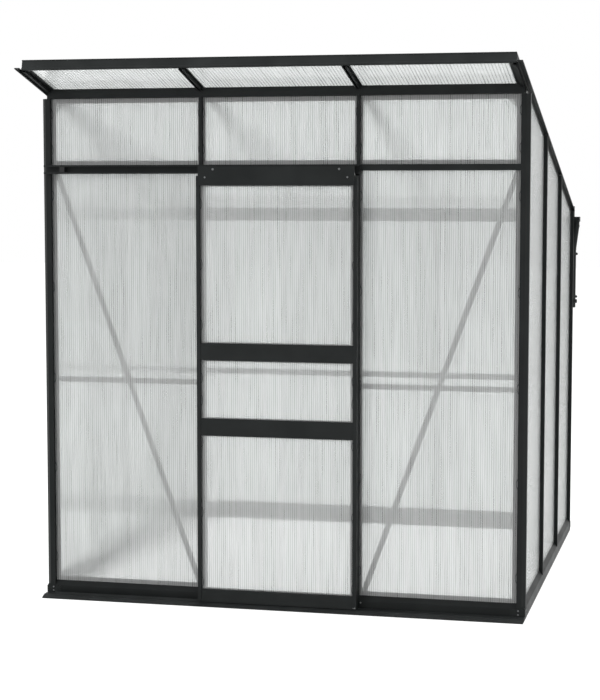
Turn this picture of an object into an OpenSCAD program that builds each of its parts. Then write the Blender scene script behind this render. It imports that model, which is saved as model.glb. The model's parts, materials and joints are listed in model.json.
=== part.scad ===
// Greenhouse with a pent roof, three bays wide and three bays deep.
// The high front wall faces -Y and carries a roof overhang and a sliding door.
// The origin is on the ground, in the middle of the plan, and +Z is up.

/* [Plan] */
// Spacing of the bars along the front and back walls
front_bay = 622; // [560:1:680]
// Spacing of the bars along the side walls
side_bay = 622; // [560:1:680]
// Distance from a corner's bar line to the outer face of the next wall's panes
corner_inset = 12; // [11:0.5:16]

/* [Roof] */
// Height of the roof panes' underside at the front wall
front_height = 2015; // [1950:1:2100]
// Fall of the roof towards the back, in degrees
roof_pitch = 14.25; // [12:0.25:17]
// Level distance from the front panes to the front edge of the overhang
canopy_reach = 280; // [200:1:320]
// Height of the front cross bar, measured square to the roof
fascia_h = 38.5; // [32:0.5:50]
// Depth of the front cross bar along the slope
fascia_t = 12; // [10:1:20]
// How far the front cross bar hangs below the roof panes
fascia_drop = 7; // [6:0.5:12]
// How far each rafter's outer cover reaches past the side panes
rafter_cover = 18; // [17:0.5:22]
// How far each rafter's cover hangs down over the side panes
rafter_drop = 17; // [14:0.5:22]
// How far the roof panes run out over the gutter
eave_overlap = 28; // [20:1:36]

/* [Bars] */
// Width of a glazing bar's outer web
web_w = 12; // [10:0.5:16]
// How far the webs stand out from the panes
web_h = 16; // [15:0.5:18]
// Half width of the flange behind the panes
flange_half = 16; // [13:0.5:20]
// Thickness of the flanges
flange_t = 2; // [1.5:0.1:2.5]
// Wall of the hollow sections
wall_t = 2.5; // [2:0.1:3]
// Distance from the panes' outer face to the bars' inner face
bar_depth = 18; // [17:0.5:22]
// Width of the bolt channel's slot
slot_w = 6.4; // [6.2:0.1:8]
// How far a corner post's flanges reach past its webs
corner_lip = 18; // [12:1:22]
// Width of the flat nose of a corner post past the panes' corner
corner_nose = 1.5; // [0.5:0.5:3]

/* [Panes] */
// Thickness of the twin-wall panes
pane_t = 4; // [3.5:0.5:6]
// Gap between a pane's edge and the bar beside it
pane_gap = 1; // [0.5:0.1:2]

// Length of a pane clip along the bar
clip_len = 40; // [30:1:50]
// How far a pane clip bows out over the pane
clip_bow = 7; // [5:0.5:9]
// Thickness of a pane clip's wire
clip_wire = 2; // [1.5:0.1:2.5]
// Distance from a pane's end to the nearest clip
clip_inset = 96; // [50:1:120]

/* [Base] */
// How far the base rails stand out from the panes
base_out = 15; // [13:0.5:15.5]
// Height of the base rails' upright outer face
base_face_h = 42; // [36:1:50]
// Height of the ledge that the wall panes stand on
base_ledge_z = 61; // [56:1:70]
// Height of the base rails' inner wall
base_inner_h = 48; // [40:1:52]
// Width of the flat foot inside the base rails
foot_w = 32; // [26:1:40]
// Thickness of the flat foot
foot_t = 3; // [2.5:0.5:5]
// Height of the flange that stands up behind a pane's lower edge
pane_lip_h = 16; // [12:1:22]
// Diameter of the four anchor holes
anchor_d = 11; // [9:0.5:13]
// Thickness of the corner brackets
bracket_t = 1.5; // [1:0.5:2]
// Length of each leg of the corner brackets
bracket_leg = 42; // [36:1:60]

/* [Front wall] */
// Height of the underside of the rail above the door
transom_z = 1699; // [1650:1:1730]
// Height of the rail above the door
transom_h = 24; // [22:1:32]
// Height of the front's top beam
top_beam_h = 32.5; // [29:0.5:50]
// How far the top beam's flange hangs down behind the panes
beam_lip_h = 19; // [12:1:24]
// Depth of the door sill in front of the base
sill_reach = 64; // [62:1:80]
// Height of the door sill
sill_h = 13; // [10:0.5:14]

/* [Back wall] */
// Height of the back eave beam
eave_beam_h = 42; // [38:0.5:60]
// Height of the underside of the back wall's brace
back_brace_z = 717; // [600:1:900]
// Height of the back wall's brace
back_brace_h = 27; // [20:1:36]

/* [Braces] */
// Height of the underside of the level braces in the front wall
front_brace_z = 863; // [700:1:1000]
// Width of the front wall's braces
brace_w = 21; // [16:1:26]
// Thickness of the braces and gussets
brace_t = 2; // [1.5:0.5:3]
// How far below the top beam the slanting braces end
diagonal_drop = 232.5; // [160:0.5:400]
// Height of the lower end of the slanting braces
diagonal_foot_z = 30; // [24:1:36]
// Length of the corner gussets' short sides
gusset_leg = 86; // [60:1:110]

/* [Door track] */
// How far the track hangs below the rail above the door
track_drop = 11; // [5:0.5:20]
// Height of the track
track_h = 33.5; // [32:0.5:38]
// Depth of the track
track_depth = 29; // [26:1:34]
// Wall of the track
track_t = 2; // [1.5:0.1:2.5]
// Radius of the rollers' running surface
roller_r = 10; // [9.5:0.1:10.5]
// Travel of the door
door_travel = 600; // [400:10:605]

/* [Door] */
// How far the door reaches past its opening on each side
door_overlap = 11.8; // [9:0.2:15]
// Width of the door stiles' front face
stile_w = 14.4; // [12:0.2:18]
// Distance from the front panes to the door's front face
door_front = 62; // [60:0.5:66]
// Depth of the door frame's front box
door_box_t = 12; // [10:0.5:14]
// Depth of the stiles' side wall behind the box
stile_depth = 30; // [26:1:34]
// Gap between the sill and the door's foot
door_clear = 4; // [3:0.5:7]
// Height of the door's foot rail
foot_rail_h = 50; // [40:1:60]
// Height of the underside of the lower cross rail
low_rail_z = 674; // [500:1:760]
// Height of the underside of the upper cross rail
high_rail_z = 968; // [850:1:1200]
// Height of the cross rails
cross_rail_h = 66.5; // [50:0.5:80]
// How far the head plate's underside lies below the track
head_drop = 45; // [40:1:60]
// Height of the head plate
head_h = 73.5; // [68:0.5:80]
// How far the head plate stops short of the door's edges
head_inset = 8.8; // [4:0.2:14]
// Thickness of the head plate
head_t = 4; // [3:0.5:5]
// Distance of each roller from the door's edge
roller_in = 68.8; // [60:0.4:110]

/* [Gutter] */
// Width of the gutter
gutter_w = 50; // [44:1:70]
// Height of the gutter
gutter_h = 23; // [20:1:36]
// Wall of the gutter
gutter_t = 2; // [1.5:0.1:3]
// How far the gutter runs past the side panes
gutter_over = 40; // [34:1:60]
// Outer diameter of the downpipe
pipe_d = 32; // [28:1:36]
// Length of the downpipe below the gutter
pipe_drop = 407; // [300:1:900]
// How far the pipe steps back under the gutter
pipe_step = 14; // [10:1:20]

/* [Hidden] */
$fn = 48;
seat_gap = 0.3;
run_gap = 0.05;
half_w = 1.5*front_bay + corner_inset;
half_d = 1.5*side_bay + corner_inset;
web = web_w/2;
flange_y = pane_t + flange_t;
channel_out = 2;
channel_half = web + channel_out;
lip_y = bar_depth - wall_t;
pane_half_front = front_bay/2 - web - pane_gap;
pane_half_side = side_bay/2 - web - pane_gap;
roof_tan = tan(roof_pitch);
roof_cos = cos(roof_pitch);
eave_height = front_height - roof_tan*2*half_d;
top_beam_z = front_height - top_beam_h;
eave_beam_z = eave_height - eave_beam_h;
beam_top_wall = 18;
bar_seat = (bar_depth - pane_t)/roof_cos + run_gap;
eave_bevel = 8;
eave_toe = 6;
roof_front = -canopy_reach/roof_cos;
fascia_back = roof_front + fascia_t;
tip_over = 10;
rafter_rise = fascia_h - fascia_drop;
cover_step = 2.5;
cover_bead = 4;
cover_root = 2;
rafter_lip = 4;
bar_end = (2*half_d + web_h)/roof_cos;
pane_end = (2*half_d + eave_overlap)/roof_cos;
base_lip_z = base_ledge_z + pane_lip_h;
transom_top = transom_z + transom_h;
pane_hold = 4;
track_front = web_h + track_depth;
track_z = transom_z - track_drop;
rail_w = 4;
roller_w = 10;
roller_rim = 2;
roller_z = track_z + track_t + 4.5 + seat_gap + roller_r;
roller_y = web_h + track_depth/2;
axle_r = 3;
door_w = front_bay - web_w + 2*door_overlap;
door_half = door_w/2;
door_foot_z = sill_h + door_clear;
stile_in = door_half - stile_w;
stile_wall = 2;
door_pane_y = door_front - door_box_t;
door_flange = 11.4;
door_pane_half = door_half - stile_wall - pane_gap;
head_z = track_z - head_drop;
head_len = door_w - 2*head_inset;
roller_x = door_half - roller_in;
head_box_h = 37;
fin_t = 2;
fin_h = 10;
fin_room = 3;
fin_y = door_pane_y + 1;
bolt_r = 3;
head_r = 3.5;
gutter_y = web_h + gutter_w/2;
gutter_z = eave_beam_z - beam_lip_h;
gutter_top = gutter_z + gutter_h;
pipe_r = pipe_d/2;
pipe_wall = 2;
spigot_h = 22;
pipe_x = half_w + gutter_over - gutter_t - pipe_r;
pipe_low_x = pipe_x - pipe_step;
pipe_neck = 20;
pipe_slant_h = 110;
pipe_bend_hi = gutter_z - pipe_neck;
pipe_bend_lo = pipe_bend_hi - pipe_slant_h;
pipe_end_z = gutter_z - pipe_drop;
bracket_screw_in = 10.5;
bracket_screw_edge = 7;
bracket_screw_z = [sill_h + bracket_screw_edge, base_face_h - bracket_screw_edge];
door_screw_x = front_bay/2 + 14;
screw_r = 2;
screw_hole_r = 2.2;
screw_len = 9;
beam_half = half_w - flange_y;
fascia_half = half_w - corner_inset + web;
fascia_groove = 3;
pane_front = roof_front + 7;
bolt_hole_r = bolt_r + 0.2;
nut_t = 4;
nut_r = 5.8;
bolt_x = 1.5*front_bay;
brace_mid_z = front_brace_z + brace_w/2;
diagonal_top_z = top_beam_z - diagonal_drop;
back_brace_mid = back_brace_z + back_brace_h/2;
diagonal_foot_x = front_bay/2 + web;
gusset_z = top_beam_z + 3;
gusset_rise = 9;
gusset_bolt_in = 66;
gusset_bolt_z = gusset_z - gusset_bolt_in;
beam_bolt_z = top_beam_z + wall_t + 3.7;
track_right = front_bay/2 + 8;
stile_top = head_z + head_box_h;
door_bar_front = door_front - 2;
door_hold = 10;
head_screw_in = 36.8;
head_screw_x = door_half - head_screw_in;
head_screw_up = 31;
head_screw_z = head_z + head_screw_up;

// Bolts of the braces and gussets: X, Z, thickness under the nut and half width of the head
in_bar = 5;
in_box = 3.5;
front_bolts = [[front_bay/2, brace_mid_z, brace_t, in_bar], [bolt_x, brace_mid_z, brace_t, in_box],
    [diagonal_foot_x, diagonal_foot_z, 2*brace_t, in_box],
    [bolt_x, diagonal_top_z, 2*brace_t, in_box],
    [beam_half - gusset_bolt_in, beam_bolt_z, brace_t, in_box],
    [bolt_x, gusset_bolt_z, brace_t, in_box]];
back_bolts = [[front_bay/2, back_brace_mid, brace_t, in_bar],
    [bolt_x, back_brace_mid, brace_t, in_box]];

coat = "#2c2e2e";
plate = "#303232";
steel = "#8b8e90";
spring = "#3a3c3d";
clear = "#d9dddb";
nylon = "#1c1c1c";

// Places a wall's pieces: X runs along the wall, -Y points outwards, Y = 0 is the panes' outer face
module on_front() { translate([0, -half_d, 0]) children(); }
module on_back() { translate([0, half_d, 0]) rotate([0, 0, 180]) children(); }
module on_left() { translate([-half_w, 0, 0]) rotate([0, 0, -90]) children(); }
module on_right() { translate([half_w, 0, 0]) rotate([0, 0, 90]) children(); }
// Places the roof's pieces: Y runs down the slope from the front wall, Z is square to the panes
module on_roof() { translate([0, -half_d, front_height]) rotate([-roof_pitch, 0, 0]) children(); }
module both_sides() { children(); mirror([1, 0, 0]) children(); }
module front_and_back() { children(); mirror([0, 1, 0]) children(); }

// Extrudes an outline of (Y, Z) points along X, about the middle
module along_x(length) {
    rotate([90, 0, 90]) linear_extrude(height = length, center = true) children();
}
// Extrudes an outline of (X, Z) points down the slope
module along_slope(from, to) {
    translate([0, to, 0]) rotate([90, 0, 0]) linear_extrude(height = to - from) children();
}
module block(x0, x1, y0, y1, z0, z1) {
    translate([x0, y0, z0]) cube([x1 - x0, y1 - y0, z1 - z0]);
}

// Outline of a glazing bar, filled, with its web towards -Y
module bar_outline() {
    polygon([[-web, -web_h], [web, -web_h], [web, pane_t], [flange_half, pane_t],
        [flange_half, flange_y], [channel_half, flange_y], [channel_half, bar_depth],
        [-channel_half, bar_depth], [-channel_half, flange_y], [-flange_half, flange_y],
        [-flange_half, pane_t], [-web, pane_t]]);
}
module bar_hollows() {
    web_room = 2*web - 2*wall_t + 1;
    channel_room = 2*channel_half - 2*flange_t;
    translate([-web_room/2, wall_t - web_h]) square([web_room, web_h + pane_t - 2*wall_t]);
    translate([-channel_room/2, flange_y + flange_t]) square([channel_room, lip_y - flange_y - flange_t]);
    translate([-slot_w/2, flange_y + flange_t]) square([slot_w, bar_depth]);
}
module bar_section() { difference() { bar_outline(); bar_hollows(); } }
module roof_turn() { translate([0, pane_t]) mirror([0, 1]) children(); }

// Outline of the corner post at the +X, -Y corner, about the corner of the panes' outer faces
module corner_outline() {
    inner = corner_inset + web;
    reach = inner + corner_lip;
    polygon([[-inner, -web_h], [corner_nose, -web_h], [web_h, -corner_nose], [web_h, inner],
        [-pane_t, inner], [-pane_t, reach], [-flange_y, reach], [-flange_y, bar_depth],
        [-bar_depth, bar_depth], [-bar_depth, flange_y], [-reach, flange_y], [-reach, pane_t],
        [-inner, pane_t]]);
}
module corner_hollow() {
    room = web_h - wall_t;
    inner = corner_inset + web - wall_t;
    nose = corner_nose - 1;
    polygon([[-inner, -room], [nose, -room], [room, -nose], [room, inner], [-inner, lip_y]]);
}

// Outline of a base rail, filled, as (Y, Z) points
module base_outline() {
    polygon([[-base_out, 0], [-base_out, base_face_h], [0, base_ledge_z], [pane_t, base_ledge_z],
        [pane_t, base_lip_z], [flange_y, base_lip_z], [flange_y, base_ledge_z - 2],
        [bar_depth, base_inner_h], [bar_depth, foot_t], [bar_depth + foot_w, foot_t],
        [bar_depth + foot_w, 0]]);
}
module base_hollow() {
    in = wall_t;
    polygon([[in - base_out, in], [in - base_out, base_face_h - 1], [1, base_ledge_z - in - 1],
        [pane_t, base_ledge_z - in - 1], [lip_y, base_inner_h - in], [lip_y, in]]);
}
// What a bar's foot is cut by: the base rail, carried on outwards past its outer face
module base_seat(length) {
    out = web_h + 1;
    bevel_out = base_face_h - (out - base_out)*(base_ledge_z - base_face_h)/base_out;
    along_x(length) {
        base_outline();
        polygon([[-out, 0], [-out, bevel_out], [-base_out, base_face_h], [1 - base_out, base_face_h],
            [1 - base_out, 0]]);
    }
}
// The same at the corner, mitred
module corner_seat() {
    span = 4*web_h;
    intersection() {
        base_seat(2*span);
        linear_extrude(height = base_lip_z + 1) polygon([[-span, span], [span, -span], [-span, -span]]);
    }
    intersection() {
        rotate([0, 0, 90]) base_seat(2*span);
        linear_extrude(height = base_lip_z + 1) polygon([[-span, span], [span, -span], [span, span]]);
    }
}

// One base rail, mitred at both ends, for a wall whose panes' corners are at +-half
module base_rail(half) {
    reach = bar_depth + foot_w + base_out;
    out = half + base_out;
    intersection() {
        along_x(2*out) difference() { base_outline(); base_hollow(); }
        linear_extrude(height = base_lip_z + 1)
            polygon([[-out, -base_out], [out, -base_out], [out - reach, reach - base_out],
                [reach - out, reach - base_out]]);
    }
}
module anchor_holes() {
    for (x = [-front_bay, front_bay])
        translate([x, bar_depth + foot_w/2, -1]) cylinder(d = anchor_d, h = foot_t + 2);
}
// Screw holes through the base rail's outer wall, left and right of its middle
module base_screw_holes(half) {
    for (x = [-1, 1], z = bracket_screw_z)
        translate([x*(half - bracket_screw_in), -base_out - 1, z])
            rotate([-90, 0, 0]) cylinder(r = screw_hole_r, h = wall_t + 2);
}

// The lip behind the panes ends at the doorway, where a foot would catch on it
module base_front() {
    doorway_half = front_bay/2 - flange_half;
    color(coat) on_front() difference() {
        base_rail(half_w);
        block(-doorway_half, doorway_half, pane_t - 1, flange_y + 1, base_ledge_z, base_lip_z + 1);
        anchor_holes();
        base_screw_holes(half_w);
        translate([door_screw_x, -base_out - 1, bracket_screw_z[1]]) rotate([-90, 0, 0])
            cylinder(r = screw_hole_r, h = wall_t + 2);
        both_sides() bolt_hole(diagonal_foot_x, diagonal_foot_z);
    }
}
module base_back() {
    color(coat) on_back() difference() {
        base_rail(half_w);
        anchor_holes();
        base_screw_holes(half_w);
    }
}
module base_left() {
    color(coat) on_left() difference() { base_rail(half_d); base_screw_holes(half_d); }
}
module base_right() {
    color(coat) on_right() difference() { base_rail(half_d); base_screw_holes(half_d); }
}

// Bent plate that wraps each outer corner of the base
module base_corner_brackets() {
    out = base_out + bracket_t;
    color(plate) both_sides() front_and_back() difference() {
        translate([half_w, -half_d, sill_h]) linear_extrude(height = base_face_h - 2 - sill_h)
            polygon([[-bracket_leg, -out], [out, -out], [out, bracket_leg],
                [base_out, bracket_leg], [base_out, -base_out], [-bracket_leg, -base_out]]);
        on_front() bracket_holes(half_w);
        on_right() mirror([1, 0, 0]) bracket_holes(half_d);
    }
}
module bracket_holes(half) {
    for (z = bracket_screw_z)
        translate([half - bracket_screw_in, -base_out - bracket_t - 1, z])
            rotate([-90, 0, 0]) cylinder(r = screw_hole_r, h = bracket_t + 2);
}
// Pan-head screw that stands on a face at Y = 0 and points towards +Y
module screw(length) {
    rotate([-90, 0, 0]) cylinder(r = screw_r, h = length);
    rotate([90, 0, 0]) cylinder(r1 = head_r, r2 = head_r - 1, h = 1.8);
}
module bracket_screws(half) {
    for (x = [-1, 1], z = bracket_screw_z)
        translate([x*(half - bracket_screw_in), -base_out - bracket_t, z]) screw(screw_len);
}
module base_screws() {
    color(steel) {
        on_front() {
            bracket_screws(half_w);
            translate([door_screw_x, -base_out, bracket_screw_z[1]]) screw(screw_len);
        }
        on_back() bracket_screws(half_w);
        on_left() bracket_screws(half_d);
        on_right() bracket_screws(half_d);
    }
}

// Ledge in front of the base, with the fin that guides the door's foot
module door_sill() {
    low = 4;
    slope = 22;
    lip = base_out + sill_reach;
    color(plate) on_front() {
        along_x(2*(half_w + base_out)) difference() {
            polygon([[-base_out, 0], [-base_out, sill_h], [slope - lip, sill_h], [-lip, low],
                [-lip, 0]]);
            polygon([[-base_out - 2, 2], [-base_out - 2, sill_h - 2], [slope - lip, sill_h - 2],
                [4 - lip, 2]]);
        }
        block(-door_half - door_travel, door_half, -fin_y - fin_t/2, -fin_y + fin_t/2,
            sill_h - 0.5, sill_h + fin_h);
    }
}

// A wall's bars stand on the base and end under whatever crosses their top
module wall_bar(top) {
    difference() {
        linear_extrude(height = top) bar_section();
        base_seat(4*flange_half);
    }
}
module corner_post(top) {
    difference() {
        linear_extrude(height = top) difference() { corner_outline(); corner_hollow(); }
        corner_seat();
    }
}
module corner_solid() { linear_extrude(height = front_height) corner_outline(); }

module beam_outline() {
    rise_out = front_height + roof_tan*web_h;
    rise_in = front_height - roof_tan*bar_depth;
    polygon([[-web_h, top_beam_z], [-web_h, rise_out], [bar_depth, rise_in],
        [bar_depth, top_beam_z], [flange_y, top_beam_z], [flange_y, top_beam_z - beam_lip_h],
        [pane_t, top_beam_z - beam_lip_h], [pane_t, top_beam_z]]);
}
module beam_hollow() {
    rise_out = front_height + roof_tan*web_h - beam_top_wall;
    rise_in = front_height - roof_tan*bar_depth - beam_top_wall;
    polygon([[wall_t - web_h, top_beam_z + wall_t], [wall_t - web_h, rise_out], [lip_y, rise_in],
        [lip_y, top_beam_z + wall_t]]);
}
module eave_outline() {
    rise_out = eave_height - roof_tan*web_h;
    rise_in = eave_height + roof_tan*bar_depth;
    polygon([[-web_h, eave_beam_z], [-web_h, rise_out], [bar_depth, rise_in],
        [bar_depth, eave_beam_z], [flange_y, eave_beam_z], [flange_y, eave_beam_z - beam_lip_h],
        [pane_t, eave_beam_z - beam_lip_h], [pane_t, eave_beam_z]]);
}
function seat_z(y) = eave_height + roof_tan*y - bar_seat;
// Step on the eave beam's inner side, which takes the channels of the roof's bars
module eave_step() {
    polygon([[flange_y, seat_z(flange_y)], [flange_y, eave_height + bar_depth],
        [2*bar_depth, eave_height + bar_depth], [2*bar_depth, eave_beam_z + eave_toe],
        [bar_depth, eave_beam_z + eave_toe], [bar_depth - eave_bevel, seat_z(bar_depth - eave_bevel)]]);
}
module eave_hollow() {
    polygon([[wall_t - web_h, eave_beam_z + wall_t], [wall_t - web_h, seat_z(wall_t - web_h) - wall_t],
        [lip_y - eave_bevel, seat_z(lip_y - eave_bevel) - wall_t], [lip_y, eave_beam_z + eave_toe],
        [lip_y, eave_beam_z + wall_t]]);
}
module transom_outline() {
    top = transom_top;
    polygon([[-web_h, transom_z], [-web_h, top], [0, top], [0, top - pane_hold],
        [pane_t, top - pane_hold], [pane_t, top + pane_lip_h], [flange_y, top + pane_lip_h],
        [flange_y, transom_z], [pane_t, transom_z], [pane_t, transom_z + pane_hold + 1],
        [0, transom_z + pane_hold + 1], [0, transom_z]]);
}
module transom_hollow() {
    translate([wall_t - web_h, transom_z + wall_t])
        square([web_h - 2*wall_t, transom_h - 2*wall_t]);
}

// Section of the rafter on the +X side, about the side panes' outer face and the roof panes'
// underside
module rafter_outline() {
    inner = corner_inset + web;
    outer = corner_inset - web;
    edge = rafter_cover - flange_t;
    polygon([[-inner - corner_lip, -flange_t], [-inner - corner_lip, 0], [-inner, 0],
        [-inner, rafter_rise], [-outer, rafter_rise], [-outer, -cover_step],
        [rafter_cover, -cover_step], [rafter_cover, -cover_step - cover_bead],
        [edge, -cover_step - cover_bead], [edge, -cover_step - flange_t],
        [flange_t, -cover_step - flange_t], [flange_t, -rafter_drop], [0, -rafter_drop],
        [0, -outer], [-pane_t, -outer],
        [-pane_t, -rafter_drop - rafter_lip], [-flange_y, -rafter_drop - rafter_lip],
        [-flange_y, pane_t - bar_depth], [-inner - channel_out, pane_t - bar_depth],
        [-inner - channel_out, -flange_t]]);
}
module rafter_hollows() {
    inner = corner_inset + web;
    channel = inner - flange_y - 2*flange_t + channel_out;
    translate([flange_t - inner - channel_out, pane_t - bar_depth + flange_t])
        square([channel, bar_depth - pane_t - 2*flange_t]);
    translate([wall_t - inner, pane_t])
        square([2*web - 2*wall_t, rafter_rise - pane_t - wall_t]);
}
module rafter_solid() {
    on_roof() translate([half_w, 0, 0]) along_slope(roof_front - tip_over, bar_end) rafter_outline();
}
// Only the rafter's outer cover runs on in front of the cross bar
module rafter() {
    color(coat) difference() {
        on_roof() translate([half_w, 0, 0]) along_slope(roof_front - tip_over, bar_end)
            difference() { rafter_outline(); rafter_hollows(); }
        on_roof() block(0, half_w - cover_root, roof_front - tip_over - 1, fascia_back, -2*rafter_drop,
            2*rafter_rise);
        beam_solid();
        eave_stepped();
    }
}
module rafter_right() { rafter(); }
module rafter_left() { mirror([1, 0, 0]) rafter(); }
module beam_solid() { on_front() along_x(2*beam_half) beam_outline(); }
module eave_solid() { on_back() along_x(2*beam_half) eave_outline(); }
module eave_stepped() {
    on_back() along_x(2*beam_half) difference() { eave_outline(); eave_step(); }
}

module top_beam_front() {
    color(coat) difference() {
        on_front() along_x(2*beam_half) difference() { beam_outline(); beam_hollow(); }
        both_sides() translate([half_w, -half_d, 0]) linear_extrude(height = top_beam_z)
            corner_outline();
        front_bolt_holes();
    }
}
module eave_beam_back() {
    color(coat) on_back() along_x(2*beam_half) difference() {
        eave_outline();
        eave_step();
        eave_hollow();
    }
}
module roof_bars() {
    color(coat) difference() {
        both_sides() on_roof() translate([front_bay/2, 0, 0])
            along_slope(fascia_back, bar_end) roof_turn() bar_section();
        beam_solid();
        eave_stepped();
    }
}

// Front cross bar of the roof overhang: a shallow groove in its face, open to the back, with a
// slot for the panes
module fascia_outline() {
    top = rafter_rise;
    bevel = 3;
    polygon([[roof_front, bevel - fascia_drop], [roof_front + bevel, -fascia_drop],
        [fascia_back, -fascia_drop], [fascia_back, top], [roof_front, top], [roof_front, top - 2],
        [roof_front + fascia_groove, top - 4], [roof_front + fascia_groove, 3],
        [roof_front, 1 - fascia_groove]]);
}
module fascia_hollows() {
    wall = roof_front + fascia_groove + 2;
    translate([wall, pane_t + 2]) square([fascia_t, rafter_rise - pane_t - 4]);
    translate([pane_front - 1, 0]) square([fascia_t, pane_t]);
    translate([wall, 2 - fascia_drop]) square([fascia_t, fascia_drop - 4]);
}
module roof_fascia() {
    color(plate) on_roof() along_x(2*fascia_half) difference() {
        fascia_outline();
        fascia_hollows();
    }
}

module mullion_front() {
    difference() {
        on_front() translate([front_bay/2, 0, 0]) wall_bar(top_beam_z + wall_t);
        beam_solid();
    }
}
module mullion_front_right() { color(coat) mullion_front(); }
module mullion_front_left() { color(coat) mirror([1, 0, 0]) mullion_front(); }

module post_front() {
    difference() {
        translate([half_w, -half_d, 0]) corner_post(top_beam_z);
        front_bolt_holes();
    }
}
module corner_post_front_right() { color(coat) post_front(); }
module corner_post_front_left() { color(coat) mirror([1, 0, 0]) post_front(); }
module post_back() {
    difference() {
        mirror([0, 1, 0]) translate([half_w, -half_d, 0]) corner_post(eave_height - 12);
        rafter_solid();
        eave_solid();
        back_bolt_holes();
    }
}
module corner_post_back_right() { color(coat) post_back(); }
module corner_post_back_left() { color(coat) mirror([1, 0, 0]) post_back(); }

function roof_z(y) = front_height - roof_tan*(y + half_d);
module side_bars() {
    difference() {
        on_right() for (y = [-side_bay/2, side_bay/2])
            translate([y, 0, 0]) wall_bar(roof_z(y) - 8);
        rafter_solid();
    }
}
module side_bars_right() { color(coat) side_bars(); }
module side_bars_left() { color(coat) mirror([1, 0, 0]) side_bars(); }
module back_bars() {
    color(coat) difference() {
        on_back() both_sides() translate([front_bay/2, 0, 0]) wall_bar(eave_beam_z + wall_t);
        eave_solid();
        back_bolt_holes();
    }
}
module transom_front() {
    color(coat) on_front() difference() {
        along_x(2*half_w) difference() { transom_outline(); transom_hollow(); }
        both_sides() {
            translate([front_bay/2, 0, 0]) linear_extrude(height = front_height) bar_outline();
            translate([half_w, 0, 0]) corner_solid();
        }
    }
}

// Bolts sit in the bars' channels and in holes in the hollow sections
module bolt_hole(x, z) {
    translate([x, lip_y - 1, z]) rotate([-90, 0, 0]) cylinder(r = bolt_hole_r, h = 4*bar_depth);
}
module front_bolt_holes() { on_front() both_sides() for (b = front_bolts) bolt_hole(b[0], b[1]); }
module back_bolt_holes() { on_back() both_sides() for (b = back_bolts) bolt_hole(b[0], b[1]); }
module frame_bolt(x, z, grip, head) {
    seat = bar_depth + grip;
    translate([x, 0, z]) {
        block(-head, head, lip_y - 4, lip_y, -in_box, in_box);
        translate([0, lip_y - 1, 0]) rotate([-90, 0, 0])
            cylinder(r = bolt_r, h = seat + nut_t + 3 - lip_y);
        translate([0, seat, 0]) rotate([-90, 0, 0]) difference() {
            cylinder(r = nut_r, h = nut_t, $fn = 6);
            translate([0, 0, -1]) cylinder(r = bolt_r + run_gap, h = nut_t + 2);
        }
    }
}
// Washer that carries a slanting brace clear of the level ones
module brace_washer(x, z) {
    translate([x, bar_depth, z]) rotate([-90, 0, 0]) difference() {
        cylinder(r = nut_r, h = brace_t);
        translate([0, 0, -1]) cylinder(r = bolt_hole_r, h = brace_t + 2);
    }
}
module frame_bolts() {
    color(steel) {
        on_front() both_sides() {
            for (b = front_bolts) frame_bolt(b[0], b[1], b[2], b[3]);
            brace_washer(diagonal_foot_x, diagonal_foot_z);
            brace_washer(bolt_x, diagonal_top_z);
        }
        on_back() both_sides() for (b = back_bolts) frame_bolt(b[0], b[1], b[2], b[3]);
    }
}

module front_braces() {
    end = 8;
    color(plate) difference() {
        on_front() both_sides() block(front_bay/2 - end, beam_half, bar_depth, bar_depth + brace_t,
            front_brace_z, front_brace_z + brace_w);
        front_bolt_holes();
    }
}
module diagonal_braces() {
    dx = bolt_x - diagonal_foot_x;
    dz = diagonal_top_z - diagonal_foot_z;
    end = 10;
    color(plate) difference() {
        on_front() both_sides() difference() {
            translate([diagonal_foot_x, bar_depth + brace_t, diagonal_foot_z])
                rotate([0, -atan2(dz, dx), 0])
                block(-end, norm([dx, dz]) + end, 0, brace_t, -brace_w/2, brace_w/2);
            block(beam_half, half_w + brace_w, bar_depth, 2*bar_depth, 0, front_height);
        }
        front_bolt_holes();
    }
}
module back_brace() {
    color(plate) difference() {
        on_back() block(-beam_half, beam_half, bar_depth, bar_depth + brace_t,
            back_brace_z, back_brace_z + back_brace_h);
        back_bolt_holes();
    }
}
module corner_gussets() {
    color(plate) difference() {
        on_front() both_sides() translate([0, bar_depth + brace_t, 0]) rotate([90, 0, 0])
            linear_extrude(height = brace_t)
            polygon([[beam_half, gusset_z + gusset_rise], [beam_half, gusset_z - gusset_leg],
                [beam_half - gusset_leg, gusset_z], [beam_half - gusset_leg, gusset_z + gusset_rise]]);
        front_bolt_holes();
    }
}

// Channel that the rollers run in, open to the front, with a rail on its floor
module door_track() {
    top = track_z + track_h;
    rail_z = roller_z - roller_r - seat_gap;
    color(plate) on_front() translate([(track_right - half_w)/2, 0, 0])
        along_x(track_right + half_w) polygon([[-web_h, track_z], [-web_h, top],
            [-track_front, top], [-track_front, top - 6], [track_t - track_front, top - 6],
            [track_t - track_front, top - track_t], [-web_h - track_t, top - track_t],
            [-web_h - track_t, track_z + track_t], [rail_w/2 - roller_y, track_z + track_t],
            [rail_w/2 - roller_y, rail_z], [-rail_w/2 - roller_y, rail_z],
            [-rail_w/2 - roller_y, track_z + track_t], [track_t - track_front, track_z + track_t],
            [track_t - track_front, track_z + 7], [-track_front, track_z + 7],
            [-track_front, track_z]]);
}
module track_stops() {
    reach = roller_r + roller_rim + seat_gap;
    stop_l = 20;
    low = roller_z - roller_r - seat_gap;
    high = track_z + track_h - track_t;
    color(nylon) on_front() {
        block(roller_x + reach, roller_x + reach + stop_l, 3 - track_front, -web_h - track_t, low, high);
        block(-roller_x - door_travel - reach - stop_l, -roller_x - door_travel - reach,
            3 - track_front, -web_h - track_t, low, high);
    }
}

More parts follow.
